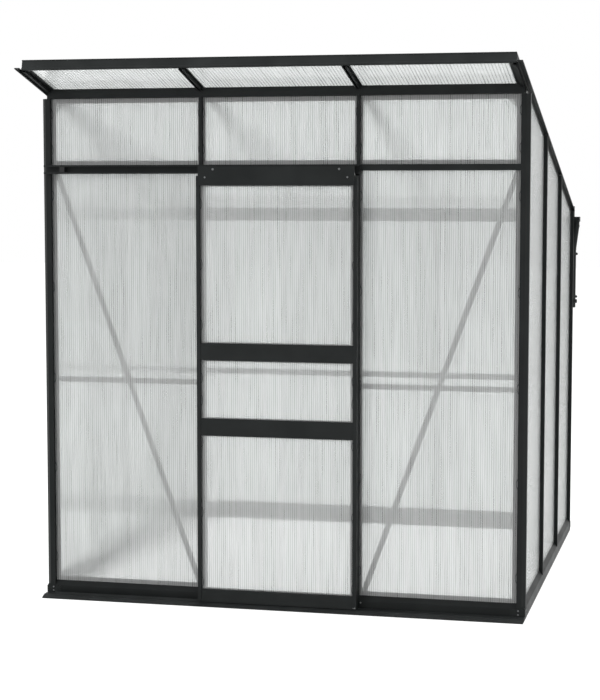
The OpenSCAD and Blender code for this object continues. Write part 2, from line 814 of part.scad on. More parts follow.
// Trough behind the back wall, with a hole over the downpipe
module gutter() {
    half = half_w + gutter_over;
    color(plate) difference() {
        on_back() difference() {
            block(-half, half, -web_h - gutter_w, -web_h, gutter_z, gutter_top);
            block(gutter_t - half, half - gutter_t, gutter_t - web_h - gutter_w, -web_h - gutter_t,
                gutter_z + gutter_t, gutter_top + 1);
        }
        translate([pipe_x, half_d + gutter_y, gutter_z - 1])
            cylinder(r = pipe_r - pipe_wall, h = gutter_t + 2);
    }
}
// The pipe's course at a given radius: a short drop, a slant inwards and a long drop
module pipe_run(r, over) {
    bend_r = r + 1;
    slant = norm([pipe_step, pipe_slant_h]);
    translate([pipe_x, 0, pipe_bend_hi]) {
        cylinder(r = r, h = pipe_neck + over);
        sphere(r = bend_r);
    }
    translate([pipe_low_x, 0, pipe_bend_lo]) {
        rotate([0, atan2(pipe_step, pipe_slant_h), 0]) cylinder(r = r, h = slant);
        sphere(r = bend_r);
    }
    translate([pipe_low_x, 0, pipe_end_z - over])
        cylinder(r = r, h = pipe_bend_lo - pipe_end_z + over);
}
module downpipe() {
    collar_z = pipe_end_z + spigot_h;
    collar_h = 16;
    color(plate) translate([0, half_d + gutter_y, 0]) difference() {
        union() {
            pipe_run(pipe_r, 0);
            translate([pipe_low_x, 0, collar_z]) cylinder(r = pipe_r + 2.5, h = collar_h);
        }
        pipe_run(pipe_r - pipe_wall, 1);
    }
}
module pipe_clips() {
    clip_h = 12;
    ring_r = pipe_r + 2.5;
    ear = ring_r + 5;
    below_bend = 28;
    above_end = 46;
    color(nylon) for (z = [pipe_bend_lo - below_bend, pipe_end_z + above_end]) difference() {
        union() {
            translate([pipe_low_x, half_d + gutter_y, z]) cylinder(r = ring_r, h = clip_h);
            block(half_w - 14, pipe_low_x + 6, half_d + web_h, half_d + web_h + 2.5, z, z + clip_h);
            block(pipe_low_x - 6, pipe_low_x + 6, half_d + web_h, half_d + gutter_y, z, z + clip_h);
            block(pipe_low_x - ear, pipe_low_x + ear, half_d + gutter_y - 3, half_d + gutter_y + 3,
                z + 1, z + clip_h - 1);
        }
        translate([pipe_low_x, half_d + gutter_y, z - 1])
            cylinder(r = pipe_r + run_gap, h = clip_h + 2);
    }
}

// Panes of the walls: each stands in its bay, with its outer face at Y = 0
module wall_pane(x, half, z0, z1) { block(x - half, x + half, 0, pane_t, z0, z1); }
module glazing_front_lower() {
    color(clear) on_front() for (x = [-front_bay, front_bay])
        wall_pane(x, pane_half_front, base_ledge_z, transom_z + pane_hold);
}
module glazing_front_upper() {
    color(clear) on_front() for (x = [-front_bay, 0, front_bay])
        wall_pane(x, pane_half_front, transom_top - pane_hold, top_beam_z - pane_gap);
}
module glazing_back() {
    color(clear) on_back() for (x = [-front_bay, 0, front_bay])
        wall_pane(x, pane_half_front, base_ledge_z, eave_beam_z - pane_gap);
}
module side_panes() {
    drop = (corner_inset - web + pane_gap)/roof_cos;
    half = pane_half_side;
    on_right() for (y = [-side_bay, 0, side_bay])
        translate([0, pane_t, 0]) rotate([90, 0, 0]) linear_extrude(height = pane_t)
            polygon([[y - half, base_ledge_z], [y + half, base_ledge_z],
                [y + half, roof_z(y + half) - drop], [y - half, roof_z(y - half) - drop]]);
}
module glazing_right() { color(clear) side_panes(); }
module glazing_left() { color(clear) mirror([1, 0, 0]) side_panes(); }
module glazing_roof() {
    color(clear) on_roof() {
        for (x = [-front_bay, 0, front_bay])
            along_slope(pane_front, pane_end) translate([x - pane_half_front, 0])
                square([2*pane_half_front, pane_t]);
    }
}

// Sprung wire clip that lies on the pane at Y = 0, bowed out from a web's side at X = 0
module clip() {
    bow_r = (clip_len*clip_len/4 + clip_bow*clip_bow)/(2*clip_bow);
    intersection() {
        translate([clip_bow - bow_r, 0, 0]) rotate([90, 0, 0]) difference() {
            cylinder(r = bow_r, h = clip_wire);
            translate([0, 0, -1]) cylinder(r = bow_r - clip_wire, h = clip_wire + 2);
        }
        block(0, clip_bow + 1, -clip_wire - 1, 1, -clip_len, clip_len);
    }
}
module clip_pair(half) {
    translate([-half, 0, 0]) clip();
    mirror([1, 0, 0]) translate([-half, 0, 0]) clip();
}
// Places of the clips between two ends, the outer ones at a given distance from the ends. A pane
// too short for two has one in its middle.
function spread(from, to, count, inset) = to - from < 2*inset + clip_len ? [(from + to)/2] :
    [for (i = [0:count - 1]) from + inset + i*(to - from - 2*inset)/(count - 1)];
module wall_clips(x, half, from, to, count, inset) {
    for (z = spread(from, to, count, inset)) translate([x, 0, z]) clip_pair(half);
}
module glazing_clips() {
    front = front_bay/2 - web;
    side = side_bay/2 - web;
    upper_inset = 60;
    color(spring) {
        on_front() {
            for (x = [-front_bay, front_bay])
                wall_clips(x, front, base_ledge_z, transom_z, 5, clip_inset);
            for (x = [-front_bay, 0, front_bay])
                wall_clips(x, front, transom_top, top_beam_z, 2, upper_inset);
        }
        on_back() for (x = [-front_bay, 0, front_bay])
            wall_clips(x, front, base_ledge_z, eave_beam_z, 5, clip_inset);
        both_sides() on_right() for (y = [-side_bay, 0, side_bay])
            wall_clips(y, side, base_ledge_z, roof_z(y + side), 5, clip_inset);
        on_roof() for (x = [-front_bay, 0, front_bay])
            for (u = spread(fascia_back, bar_end, 6, clip_inset))
                translate([x, u, pane_t]) rotate([-90, 0, 0]) clip_pair(front);
    }
}

// Section of the right-hand door stile, as (X, Y) points
module stile_outline() {
    wall = door_half - stile_wall;
    flange = stile_in - door_flange;
    back = door_pane_y - pane_t;
    polygon([[stile_in, -door_front], [door_half, -door_front], [door_half, stile_depth - door_front],
        [wall, stile_depth - door_front], [wall, flange_t - back], [flange, flange_t - back],
        [flange, -back], [wall, -back], [wall, -door_pane_y], [stile_in, -door_pane_y]]);
}
module stile_hollow() {
    translate([stile_in + stile_wall, stile_wall - door_front])
        square([stile_w - 2*stile_wall, door_box_t - 2*stile_wall]);
}
module stile_solids() {
    both_sides() translate([0, 0, door_foot_z - 1]) linear_extrude(height = stile_top)
        stile_outline();
}
// Groove under the door that clears the sill's fin
module fin_groove() {
    block(-door_w, door_w, -fin_y - fin_t/2 - fin_room, -fin_y + fin_t/2 + fin_room,
        door_foot_z - 1, sill_h + fin_h + 4);
}
module door_stile() {
    on_front() difference() {
        translate([0, 0, door_foot_z]) linear_extrude(height = stile_top - door_foot_z)
            difference() { stile_outline(); stile_hollow(); }
        fin_groove();
        foot_screw_place() rotate([-90, 0, 0]) cylinder(r = screw_hole_r, h = 16, center = true);
    }
}
module foot_screw_place() {
    translate([door_half - stile_w/2 + 1, -door_front, door_foot_z + 5]) children();
}
module door_stile_right() { color(plate) door_stile(); }
module door_stile_left() { color(plate) mirror([1, 0, 0]) door_stile(); }

module cross_rail(z) {
    top = z + cross_rail_h;
    back = door_pane_y - pane_t;
    along_x(2*stile_in) difference() {
        polygon([[-door_bar_front, z], [-door_bar_front, top], [-door_pane_y, top],
            [-door_pane_y, top - door_hold], [-back, top - door_hold], [-back, top + 4],
            [flange_t - back, top + 4], [flange_t - back, z - 4], [-back, z - 4],
            [-back, z + door_hold], [-door_pane_y, z + door_hold], [-door_pane_y, z]]);
        translate([2 - door_bar_front, z + 2]) square([door_box_t - 6, cross_rail_h - 4]);
    }
}
module door_cross_rails() {
    color(plate) on_front() difference() {
        union() {
            cross_rail(low_rail_z);
            cross_rail(high_rail_z);
        }
        stile_solids();
    }
}
module door_foot_rail() {
    top = door_foot_z + foot_rail_h;
    back = door_pane_y - pane_t;
    color(plate) on_front() difference() {
        along_x(2*stile_in) difference() {
            polygon([[-door_bar_front, door_foot_z], [-door_bar_front, top], [-door_pane_y, top],
                [-door_pane_y, top - door_hold], [-back, top - door_hold], [-back, top + 4],
                [flange_t - back, top + 4], [flange_t - back, door_foot_z]]);
            translate([2 - door_bar_front, door_foot_z + 14])
                square([door_box_t - 6, foot_rail_h - 16]);
        }
        stile_solids();
        fin_groove();
    }
}
module door_head() {
    back = door_pane_y - pane_t;
    top = stile_top;
    hold = door_hold + 2;
    color(plate) on_front() difference() {
        union() {
            block(-head_len/2, head_len/2, -door_front - head_t, -door_front, head_z, head_z + head_h);
            along_x(2*stile_in) difference() {
                polygon([[-door_front, head_z], [-door_front, top], [flange_t - back, top],
                    [flange_t - back, head_z - 4], [-back, head_z - 4], [-back, head_z + hold],
                    [-door_pane_y, head_z + hold], [-door_pane_y, head_z]]);
                translate([2 - door_front, head_z + 2]) square([door_box_t - 4, head_box_h - 4]);
            }
        }
        difference() {
            stile_solids();
            block(-door_w, door_w, -door_front - head_t, -door_front, head_z, head_z + head_h);
        }
        both_sides() {
            translate([roller_x, -door_front - head_t - 1, roller_z]) rotate([-90, 0, 0])
                cylinder(r = axle_r + run_gap, h = head_t + 2);
            translate([head_screw_x, -door_front - head_t - 1, head_screw_z]) rotate([-90, 0, 0])
                cylinder(r = screw_hole_r, h = head_t + 4);
        }
    }
}
module door_screws() {
    color(steel) on_front() {
        both_sides() translate([head_screw_x, -door_front - head_t, head_screw_z])
            screw(head_t + 5);
        foot_screw_place() screw(5);
    }
}
module door_panes() {
    foot = door_foot_z + foot_rail_h - door_hold;
    module pane(z0, z1) {
        block(-door_pane_half, door_pane_half, -door_pane_y, pane_t - door_pane_y, z0, z1);
    }
    color(clear) on_front() {
        pane(foot, low_rail_z + door_hold - pane_gap);
        pane(low_rail_z + cross_rail_h - door_hold, high_rail_z + door_hold - pane_gap);
        pane(high_rail_z + cross_rail_h - door_hold, head_z + door_hold + 2 - pane_gap);
    }
}
module door_clips() {
    wide_inset = 70;
    low_inset = 27;
    module row(from, to, count, inset) {
        for (z = spread(from, to, count, inset))
            translate([0, -door_pane_y, z]) clip_pair(stile_in);
    }
    color(spring) on_front() {
        row(door_foot_z + foot_rail_h, low_rail_z, 3, low_inset);
        row(low_rail_z + cross_rail_h, high_rail_z, 2, wide_inset);
        row(high_rail_z + cross_rail_h, head_z, 3, wide_inset);
    }
}
// Brush strips that close the gap between the door's stiles and the posts
module door_seals() {
    color(nylon) on_front() both_sides()
        block(door_half - stile_wall, door_half, stile_depth - door_front, -web_h - seat_gap,
            base_lip_z + 4, stile_top);
}
module roller_axles() {
    nut = 4;
    back = roller_y - roller_w/2;
    color(steel) on_front() both_sides() translate([roller_x, 0, roller_z]) {
        translate([0, -door_front - head_t, 0]) rotate([-90, 0, 0])
            cylinder(r = axle_r, h = door_front + head_t - back + nut + 1);
        translate([0, -door_front - head_t, 0]) rotate([90, 0, 0])
            cylinder(r1 = head_r + 1, r2 = head_r, h = 2.2);
        translate([0, -door_front, 0]) rotate([-90, 0, 0]) difference() {
            cylinder(r = 5.5, h = door_front - roller_y - roller_w/2 - 0.5);
            translate([0, 0, -1]) cylinder(r = axle_r + run_gap, h = door_front);
        }
        translate([0, 0.5 - back, 0]) rotate([-90, 0, 0]) difference() {
            cylinder(r = 5.5, h = nut, $fn = 6);
            translate([0, 0, -1]) cylinder(r = axle_r + run_gap, h = nut + 2);
        }
    }
}
// Grooved wheel that runs on the track's rail
module roller() {
    half = roller_w/2;
    groove = rail_w/2 + 0.5;
    rim = roller_r + roller_rim;
    bore = axle_r + run_gap;
    on_front() translate([roller_x, -roller_y, roller_z]) rotate([90, 0, 0])
        rotate_extrude() polygon([[bore, -half], [rim, -half], [rim, -groove], [roller_r, -groove],
            [roller_r, groove], [rim, groove], [rim, half], [bore, half]]);
}
module roller_right() { color(nylon) roller(); }
module roller_left() { color(nylon) mirror([1, 0, 0]) roller(); }

base_front();
base_back();
base_left();
base_right();
base_corner_brackets();
base_screws();
door_sill();
corner_post_front_left();
corner_post_front_right();
corner_post_back_left();
corner_post_back_right();
mullion_front_left();
mullion_front_right();
side_bars_left();
side_bars_right();
back_bars();
transom_front();
top_beam_front();
eave_beam_back();
rafter_left();
rafter_right();
roof_bars();
roof_fascia();
front_braces();
diagonal_braces();
back_brace();
corner_gussets();
frame_bolts();
door_track();
track_stops();
gutter();
downpipe();
pipe_clips();
glazing_front_lower();
glazing_front_upper();
glazing_left();
glazing_right();
glazing_back();
glazing_roof();
glazing_clips();
door_stile_left();
door_stile_right();
door_head();
door_cross_rails();
door_foot_rail();
door_panes();
door_clips();
door_screws();
door_seals();
roller_axles();
roller_left();
roller_right();
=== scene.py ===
"""Pent-roof greenhouse: finishes, small fittings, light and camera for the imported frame, in metres."""

import json
from math import asin, cos, pi, radians, sin, tau

import bmesh
import bpy
from mathutils import Matrix, Vector


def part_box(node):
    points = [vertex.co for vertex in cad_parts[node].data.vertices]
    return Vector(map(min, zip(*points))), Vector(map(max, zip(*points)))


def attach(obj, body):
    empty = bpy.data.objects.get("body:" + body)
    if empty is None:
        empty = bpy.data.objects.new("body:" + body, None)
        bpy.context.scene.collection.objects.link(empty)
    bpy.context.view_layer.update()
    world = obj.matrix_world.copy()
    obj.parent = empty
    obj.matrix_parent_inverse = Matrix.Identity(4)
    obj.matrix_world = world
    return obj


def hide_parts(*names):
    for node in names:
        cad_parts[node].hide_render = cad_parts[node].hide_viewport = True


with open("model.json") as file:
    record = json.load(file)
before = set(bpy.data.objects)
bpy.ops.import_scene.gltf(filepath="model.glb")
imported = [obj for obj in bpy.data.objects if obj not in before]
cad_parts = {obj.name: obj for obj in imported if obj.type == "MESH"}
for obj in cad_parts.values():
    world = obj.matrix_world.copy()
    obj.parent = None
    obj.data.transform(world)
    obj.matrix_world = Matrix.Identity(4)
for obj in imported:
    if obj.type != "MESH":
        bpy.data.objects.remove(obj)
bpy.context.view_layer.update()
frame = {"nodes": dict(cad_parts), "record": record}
nodes = frame["nodes"]

# Node and colour helpers


def hex_colour(text):
    """An sRGB hex value as the linear colour that the shader sockets take."""
    levels = [int(text[i:i + 2], 16) / 255 for i in (1, 3, 5)]
    return [v / 12.92 if v <= 0.04045 else ((v + 0.055) / 1.055) ** 2.4 for v in levels] + [1.0]


def grey(level):
    return [level, level, level, 1.0]


def add_node(tree, kind, inputs=None, stops=(), **settings):
    """A node with its settings and ramp stops; an input is a value, or another node's output."""
    made = tree.nodes.new(kind)
    for name, value in settings.items():
        setattr(made, name, value)
    for name, value in (inputs or {}).items():
        if isinstance(value, bpy.types.NodeSocket):
            tree.links.new(value, made.inputs[name])
        else:
            made.inputs[name].default_value = value
    for index, (position, colour) in enumerate(stops):
        element = made.color_ramp.elements[index]
        element.position = position
        element.color = colour
    return made


def new_material(name):
    """An empty node material; returns it, its tree, and object coordinates."""
    material = bpy.data.materials.new(name)
    material.use_nodes = True
    tree = material.node_tree
    tree.nodes.clear()
    place = add_node(tree, "ShaderNodeTexCoord").outputs["Object"]
    return material, tree, place


def set_surface(material, tree, shader_inputs):
    """Ends a material in one Principled shader with these inputs."""
    shader = add_node(tree, "ShaderNodeBsdfPrincipled", shader_inputs)
    add_node(tree, "ShaderNodeOutputMaterial", {"Surface": shader.outputs["BSDF"]})
    return material


# Finishes


def powder_coat(name, dark, light):
    """Polyester powder coat on aluminium: satin, with the orange peel of a sprayed and baked film.

    It gives the eye a soft grey-black with no sharp reflections. Edges are seen rounded, 0.8 mm,
    because the film is thick there.
    """
    material, tree, place = new_material(name)
    # Faint cloudiness, 120 mm across, from uneven film thickness
    cloud = add_node(tree, "ShaderNodeTexNoise", {"Vector": place, "Scale": 8.0, "Detail": 3.0})
    colour = add_node(tree, "ShaderNodeValToRGB", {"Fac": cloud.outputs["Fac"]},
                      stops=[(0.35, hex_colour(dark)), (0.65, hex_colour(light))])
    rough = add_node(tree, "ShaderNodeValToRGB", {"Fac": cloud.outputs["Fac"]},
                     stops=[(0.3, grey(0.42)), (0.7, grey(0.52))])
    # Orange peel about 1.5 mm across
    peel = add_node(tree, "ShaderNodeTexNoise", {"Vector": place, "Scale": 650.0, "Detail": 2.0})
    edge = add_node(tree, "ShaderNodeBevel", {"Radius": 0.0008}, samples=4)
    bump = add_node(tree, "ShaderNodeBump",
                    {"Height": peel.outputs["Fac"], "Normal": edge.outputs["Normal"],
                     "Strength": 0.12, "Distance": 0.0004})
    return set_surface(material, tree, {
        "Base Color": colour.outputs["Color"], "Roughness": rough.outputs["Color"],
        "Normal": bump.outputs["Normal"], "IOR": 1.5, "Specular IOR Level": 0.11})


def zinc_steel(name):
    """Zinc-plated steel, tumbled: a light grey metal, slightly mottled, that catches the light."""
    material, tree, place = new_material(name)
    # Mottling about 3 mm across, where the crystals of the plating differ
    mottle = add_node(tree, "ShaderNodeTexNoise", {"Vector": place, "Scale": 300.0, "Detail": 4.0})
    colour = add_node(tree, "ShaderNodeValToRGB", {"Fac": mottle.outputs["Fac"]},
                      stops=[(0.3, hex_colour("#6a6c6d")), (0.7, hex_colour("#8c8e8f"))])
    rough = add_node(tree, "ShaderNodeValToRGB", {"Fac": mottle.outputs["Fac"]},
                     stops=[(0.3, grey(0.3)), (0.7, grey(0.5))])
    return set_surface(material, tree, {
        "Base Color": colour.outputs["Color"], "Roughness": rough.outputs["Color"],
        "Metallic": 1.0})


def spring_wire(name):
    """Hard-drawn spring wire, oil blackened: a dark bluish metal with drawing lines."""
    material, tree, place = new_material(name)
    # Drawing lines 0.3 mm apart, and darker patches 8 mm across where the oil burnt in
    lines = add_node(tree, "ShaderNodeTexNoise", {"Vector": place, "Scale": 3300.0, "Detail": 1.0})
    patch = add_node(tree, "ShaderNodeTexNoise", {"Vector": place, "Scale": 120.0, "Detail": 2.0})
    colour = add_node(tree, "ShaderNodeValToRGB", {"Fac": patch.outputs["Fac"]},
                      stops=[(0.35, hex_colour("#2b2e31")), (0.7, hex_colour("#3c4044"))])
    rough = add_node(tree, "ShaderNodeValToRGB", {"Fac": lines.outputs["Fac"]},
                     stops=[(0.3, grey(0.32)), (0.7, grey(0.5))])
    return set_surface(material, tree, {
        "Base Color": colour.outputs["Color"], "Roughness": rough.outputs["Color"],
        "Metallic": 1.0})


def black_nylon(name):
    """Moulded black nylon: matt, with a fine spark-eroded grain."""
    material, tree, place = new_material(name)
    # Grain about 1 mm across
    grain = add_node(tree, "ShaderNodeTexNoise", {"Vector": place, "Scale": 900.0, "Detail": 2.0})
    bump = add_node(tree, "ShaderNodeBump",
                    {"Height": grain.outputs["Fac"], "Strength": 0.2, "Distance": 0.0003})
    colour = add_node(tree, "ShaderNodeValToRGB", {"Fac": grain.outputs["Fac"]},
                      stops=[(0.3, hex_colour("#151616")), (0.7, hex_colour("#1f2020"))])
    return set_surface(material, tree, {
        "Base Color": colour.outputs["Color"], "Roughness": 0.6,
        "Normal": bump.outputs["Normal"], "IOR": 1.53, "Specular IOR Level": 0.3})


def pile_strip(name):
    """Woven polypropylene pile: a dark brush whose tufts stand 1.2 mm apart and drink the light; the
    shade between them is painted.
    """
    material, tree, place = new_material(name)
    # Tufts 6 mm long in Y, out of the strip, and 1.2 mm from one to the next up the strip
    tuft_place = add_node(tree, "ShaderNodeMapping",
                          {"Vector": place, "Scale": (1400.0, 160.0, 840.0)})
    tufts = add_node(tree, "ShaderNodeTexNoise",
                     {"Vector": tuft_place.outputs["Vector"], "Scale": 1.0, "Detail": 2.0})
    # The colour follows the tufts' height, darker low down between them: painted shade
    colour = add_node(tree, "ShaderNodeValToRGB", {"Fac": tufts.outputs["Fac"]},
                      stops=[(0.35, hex_colour("#0e0f0f")), (0.7, hex_colour("#2a2b2b"))])
    bump = add_node(tree, "ShaderNodeBump",
                    {"Height": tufts.outputs["Fac"], "Strength": 0.8, "Distance": 0.001})
    return set_surface(material, tree, {
        "Base Color": colour.outputs["Color"], "Roughness": 0.95,
        "Normal": bump.outputs["Normal"], "Specular IOR Level": 0.1})


def twin_wall(name, across, rib_pitch, rib_depth, clear_share, gloss):
    """Extruded twin-wall polycarbonate, 4 mm thick: two clear skins joined by ribs.

    It lets the light through softly. Each rib bends it sideways, so that what stands upright far
    behind a wall blurs away and what lies level stays, and the skins lay a pale veil over the dark
    bars close behind. The ribs follow each other along the axis named by across.
    """
    material, tree, place = new_material(name)
    # A band texture's period is tau / (20 * scale)
    ribs = add_node(tree, "ShaderNodeTexWave", {"Vector": place, "Scale": tau / 20 / rib_pitch},
                    wave_type="BANDS", bands_direction=across, wave_profile="SIN")
    # Die lines: streaks along the ribs, about 30 mm apart, from the extruder's lips
    crowded = 34.0
    drawn_out = 1.2
    stretch = {"X": (crowded, drawn_out, drawn_out), "Y": (drawn_out, crowded, drawn_out)}[across]
    lines_place = add_node(tree, "ShaderNodeMapping", {"Vector": place, "Scale": stretch})
    lines = add_node(tree, "ShaderNodeTexNoise",
                     {"Vector": lines_place.outputs["Vector"], "Scale": 1.0, "Detail": 4.0})
    # Each rib stands a little thicker or thinner than its neighbours
    each_rib = add_node(tree, "ShaderNodeTexNoise",
                        {"Vector": lines_place.outputs["Vector"], "Scale": 4.0, "Detail": 1.0})
    skin = add_node(tree, "ShaderNodeValToRGB", {"Fac": lines.outputs["Fac"]},
                    stops=[(0.3, hex_colour("#f2f4f3")), (0.7, hex_colour("#fafbfb"))])
    rib = add_node(tree, "ShaderNodeValToRGB", {"Fac": each_rib.outputs["Fac"]},
                   stops=[(0.3, hex_colour("#bcbfbe")), (0.7, hex_colour("#e6e9e8"))])
    on_rib = add_node(tree, "ShaderNodeValToRGB", {"Fac": ribs.outputs["Fac"]},
                      stops=[(0.6, grey(0.0)), (0.9, grey(1.0))])
    colour = add_node(tree, "ShaderNodeMix",
                      {0: on_rib.outputs["Color"], 6: skin.outputs["Color"],
                       7: rib.outputs["Color"]}, data_type="RGBA")
    bump = add_node(tree, "ShaderNodeBump",
                    {"Height": ribs.outputs["Fac"], "Strength": 1.0, "Distance": rib_depth})
    clear = add_node(tree, "ShaderNodeBsdfPrincipled", {
        "Base Color": colour.outputs[2], "Transmission Weight": clear_share, "Roughness": 0.015,
        "Normal": bump.outputs["Normal"], "IOR": 1.58, "Coat Weight": gloss, "Coat IOR": 1.9,
        "Coat Roughness": 0.02})
    veil = add_node(tree, "ShaderNodeBsdfTranslucent", {
        "Color": colour.outputs[2], "Normal": bump.outputs["Normal"]})
    veil_share = 0.15
    sheet = add_node(tree, "ShaderNodeMixShader",
                     {0: veil_share, 1: clear.outputs["BSDF"], 2: veil.outputs["BSDF"]})
    add_node(tree, "ShaderNodeOutputMaterial", {"Surface": sheet.outputs["Shader"]})
    return material


coat = powder_coat("powder_coated_extrusion", "#161818", "#1b1d1d")
plate = powder_coat("powder_coated_sheet", "#181a1a", "#1e2020")
# A lighter copy of the same powder coat, for the door sill and the roof fascia: their extra brightness
# is painted light
painted_lighter_coat = powder_coat("powder_coated_sheet_painted_lighter", "#1e2020", "#262828")
steel = zinc_steel("zinc_plated_steel")
spring = spring_wire("blackened_spring_wire")
nylon = black_nylon("moulded_nylon")
brush = pile_strip("woven_pile_strip")

# The real ribs are about 6 mm apart and are drawn coarser, because finer ones don't show in the
# render. Those of the roof are wider still, because they are seen from below at a flat angle.
wall_rib_pitch = 0.0084
roof_rib_pitch = 0.0125
front_rib_depth = 0.0007
# The relief is shallower in the panes that are seen at a flat angle
flat_rib_depth = 0.0002
pane_front = twin_wall("twin_wall_sheet_front_and_back", "X", wall_rib_pitch, front_rib_depth,
                       clear_share=0.8, gloss=0.0)
pane_roof = twin_wall("twin_wall_sheet_roof", "X", roof_rib_pitch, flat_rib_depth,
                      clear_share=0.8, gloss=0.0)
# The left wall is seen from inside at a flat angle, where its skin mirrors the back wall's beams
pane_left = twin_wall("twin_wall_sheet_left", "Y", wall_rib_pitch, flat_rib_depth,
                      clear_share=0.8, gloss=0.9)
pane_right = twin_wall("twin_wall_sheet_right", "Y", wall_rib_pitch, flat_rib_depth,
                       clear_share=0.6, gloss=0.0)

finishes = {
    "frame_coat": coat,
    "plate_coat": plate,
    "fastener_steel": steel,
    "spring_steel": spring,
    "black_plastic": nylon,
    "pane": pane_front,
}
# The door sill and the roof fascia take the lighter coat, whose extra brightness is painted light
own_finish = {"glazing_left": pane_left, "glazing_right": pane_right, "glazing_roof": pane_roof,
              "door_sill": painted_lighter_coat, "roof_fascia": painted_lighter_coat, "door_seals": brush}
slot_of = {part["node"]: part["material_slot"] for part in frame["record"]["subparts"]}
for name, node in nodes.items():
    node.data.materials.clear()
    node.data.materials.append(own_finish.get(name, finishes[slot_of[name]]))

# Small fittings, each modelled once and copied to the places of its CAD solids

# Two points closer than this are one
same_point = 1e-5
# Edges sharper than these stay sharp in the shading: of turned and moulded parts, and of wire
sharp_edge = radians(40)
sharp_wire = radians(50)


def solids_of(name):
    """The vertices of each separate solid in a node, as lists of vectors, in the mesh's order."""
    shape = bmesh.new()
    shape.from_mesh(nodes[name].data)
    bmesh.ops.remove_doubles(shape, verts=shape.verts, dist=same_point)
    left = set(shape.verts)
    solids = []
    for first in shape.verts:
        if first not in left:
            continue
        left.remove(first)
        reached = [first]
        for vertex in reached:
            for edge in vertex.link_edges:
                other = edge.other_vert(vertex)
                if other in left:
                    left.remove(other)
                    reached.append(other)
        solids.append([vertex.co.copy() for vertex in reached])
    shape.free()
    return solids


def span(points, axis):
    """The lowest and highest reach of points along an axis."""
    reaches = [point.dot(axis) for point in points]
    return min(reaches), max(reaches)


def start_edit():
    bpy.ops.object.mode_set(mode="EDIT")
    bpy.ops.mesh.select_all(action="DESELECT")


def pick_verts(piece, test):
    """Selects the vertices that pass a test, in edit mode."""
    shape = bmesh.from_edit_mesh(piece.data)
    for vertex in shape.verts:
        vertex.select = test(vertex.co)
    shape.select_flush_mode()
    bmesh.update_edit_mesh(piece.data)


def round_rims(piece, width):
    """Rounds the sharp edges of the active piece in two steps."""
    rims = piece.modifiers.new("rims", "BEVEL")
    rims.width = width
    rims.segments = 2
    rims.limit_method = "ANGLE"
    bpy.ops.object.modifier_apply(modifier=rims.name)


def place_copies(model, places, name, finish):
    """Copies a model to each place with its own mesh, and joins the copies into one piece."""
    bpy.ops.object.select_all(action="DESELECT")
    copies = []
    for place in places:
        copy = bpy.data.objects.new(name, model.data.copy())
        copy.data.transform(place)
        bpy.context.collection.objects.link(copy)
        copy.select_set(True)
        copies.append(copy)
    bpy.context.view_layer.objects.active = copies[0]
    bpy.ops.object.join()
    piece = bpy.context.object
    piece.name = name
    piece.data.materials.clear()
    piece.data.materials.append(finish)
    return piece


def wire_bow():
    """A sprung clip in its own place: the bar's side at X = 0, the pane at Y = 0, -Y outwards.

    A bow of round wire lies on the pane, and its two ends turn outwards along the bar.
    """
    wire_r = 0.0009
    wire_sides = 5
    bow_r = 0.036
    half_span = 0.0175
    half_angle = asin(half_span / bow_r)
    tip_x = 0.0019
    centre_x = tip_x - bow_r * cos(half_angle)
    bend_r = 0.002
    tail_l = 0.003
    bpy.ops.object.select_all(action="DESELECT")
    bpy.ops.mesh.primitive_circle_add(vertices=wire_sides, radius=wire_r, fill_type="NOTHING",
                                      location=(centre_x + bow_r, -wire_r, 0.0))
    piece = bpy.context.object
    bpy.ops.object.transform_apply(location=True, rotation=True, scale=True)
    bpy.ops.object.mode_set(mode="EDIT")
    bpy.ops.mesh.select_all(action="SELECT")
    # Half of the bow, then the bend outwards at its tip, and a straight tail
    bpy.ops.mesh.spin(steps=3, angle=half_angle, center=(centre_x, -wire_r, 0.0),
                      axis=(0.0, 1.0, 0.0))
    tip = Vector((tip_x, -wire_r, bow_r * sin(half_angle)))
    radial = Vector((cos(half_angle), 0.0, sin(half_angle)))
    bpy.ops.mesh.spin(steps=2, angle=-pi / 2, center=tip + Vector((0.0, -bend_r, 0.0)),
                      axis=radial)
    bpy.ops.mesh.extrude_region_move(TRANSFORM_OT_translate={"value": (0.0, -tail_l, 0.0)})
    bpy.ops.mesh.edge_face_add()
    bpy.ops.object.mode_set(mode="OBJECT")
    mirror = piece.modifiers.new("other_half", "MIRROR")
    mirror.use_axis = (False, False, True)
    mirror.merge_threshold = 0.0001
    bpy.ops.object.modifier_apply(modifier=mirror.name)
    bpy.ops.object.mode_set(mode="EDIT")
    bpy.ops.mesh.select_all(action="SELECT")
    bpy.ops.mesh.normals_make_consistent(inside=False)
    bpy.ops.object.mode_set(mode="OBJECT")
    bpy.ops.object.shade_smooth_by_angle(angle=sharp_wire)
    return piece


# The roof's slope, from the box of its panes
roof_low, roof_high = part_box("glazing_roof")
pane_thick = 0.004
roof_run = roof_high[1] - roof_low[1]
roof_fall = roof_high[2] - roof_low[2] - pane_thick
down_slope = Vector((0.0, roof_run, -roof_fall)).normalized()
off_roof = Vector((0.0, -down_slope.z, down_slope.y))
upright = Vector((0.0, 0.0, 1.0))
# The way outwards and the way along the bars, for the four walls and then the roof
outward_and_along = [
    (Vector((0.0, -1.0, 0.0)), upright),
    (Vector((0.0, 1.0, 0.0)), upright),
    (Vector((-1.0, 0.0, 0.0)), upright),
    (Vector((1.0, 0.0, 0.0)), upright),
    (off_roof, down_slope),
]
wall_count = 4
room_middle = Vector((0.0, 0.0, 1.0))


